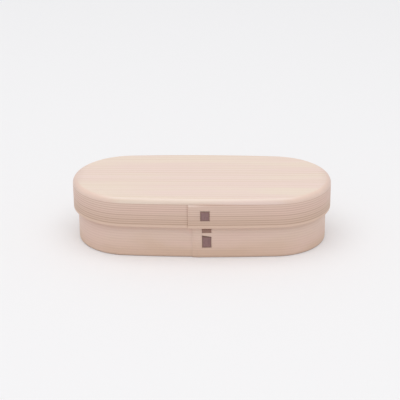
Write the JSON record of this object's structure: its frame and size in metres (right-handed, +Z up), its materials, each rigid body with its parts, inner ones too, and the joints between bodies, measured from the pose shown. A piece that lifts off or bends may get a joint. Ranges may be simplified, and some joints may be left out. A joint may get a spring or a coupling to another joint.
{
  "type": "bento lunch box",
  "caption": "Long oval bentwood lunch box with a lift-off cover lid: bent cedar hoops with lapped ends laced in cherry bark, a cedar foot and lid board, and a loose divider.",
  "frame": {"origin": "middle of the foot, on the surface that the box stands on", "axes": "+X along the box, +Z up through the lid, and the laced laps face -Y"},
  "size_m": [0.2264, 0.1064, 0.0556],
  "materials": {
    "cedar_band": "bare planed cedar, satin, grain along the band",
    "cedar_board": "bare planed cedar, satin, straight grain along the box",
    "cherry_bark": "polished cherry bark strip, satin"
  },
  "bodies": {
    "box_body": {"body_band": "cedar_band", "foot_board": "cedar_board", "body_bark_lacing": "cherry_bark"},
    "lid": {"lid_band": "cedar_band", "lid_board": "cedar_board", "lid_bark_lacing": "cherry_bark"},
    "divider": {"divider": "cedar_board"}
  },
  "joints": [
    {"name": "lid_lift", "type": "slide", "parent": "box_body", "child": "lid", "axis": [0, 0, 1], "range_m": [0, 0.08]},
    {"name": "divider_slide", "type": "slide", "parent": "box_body", "child": "divider", "axis": [1, 0, 0], "range_m": [-0.078, 0.018]}
  ]
}
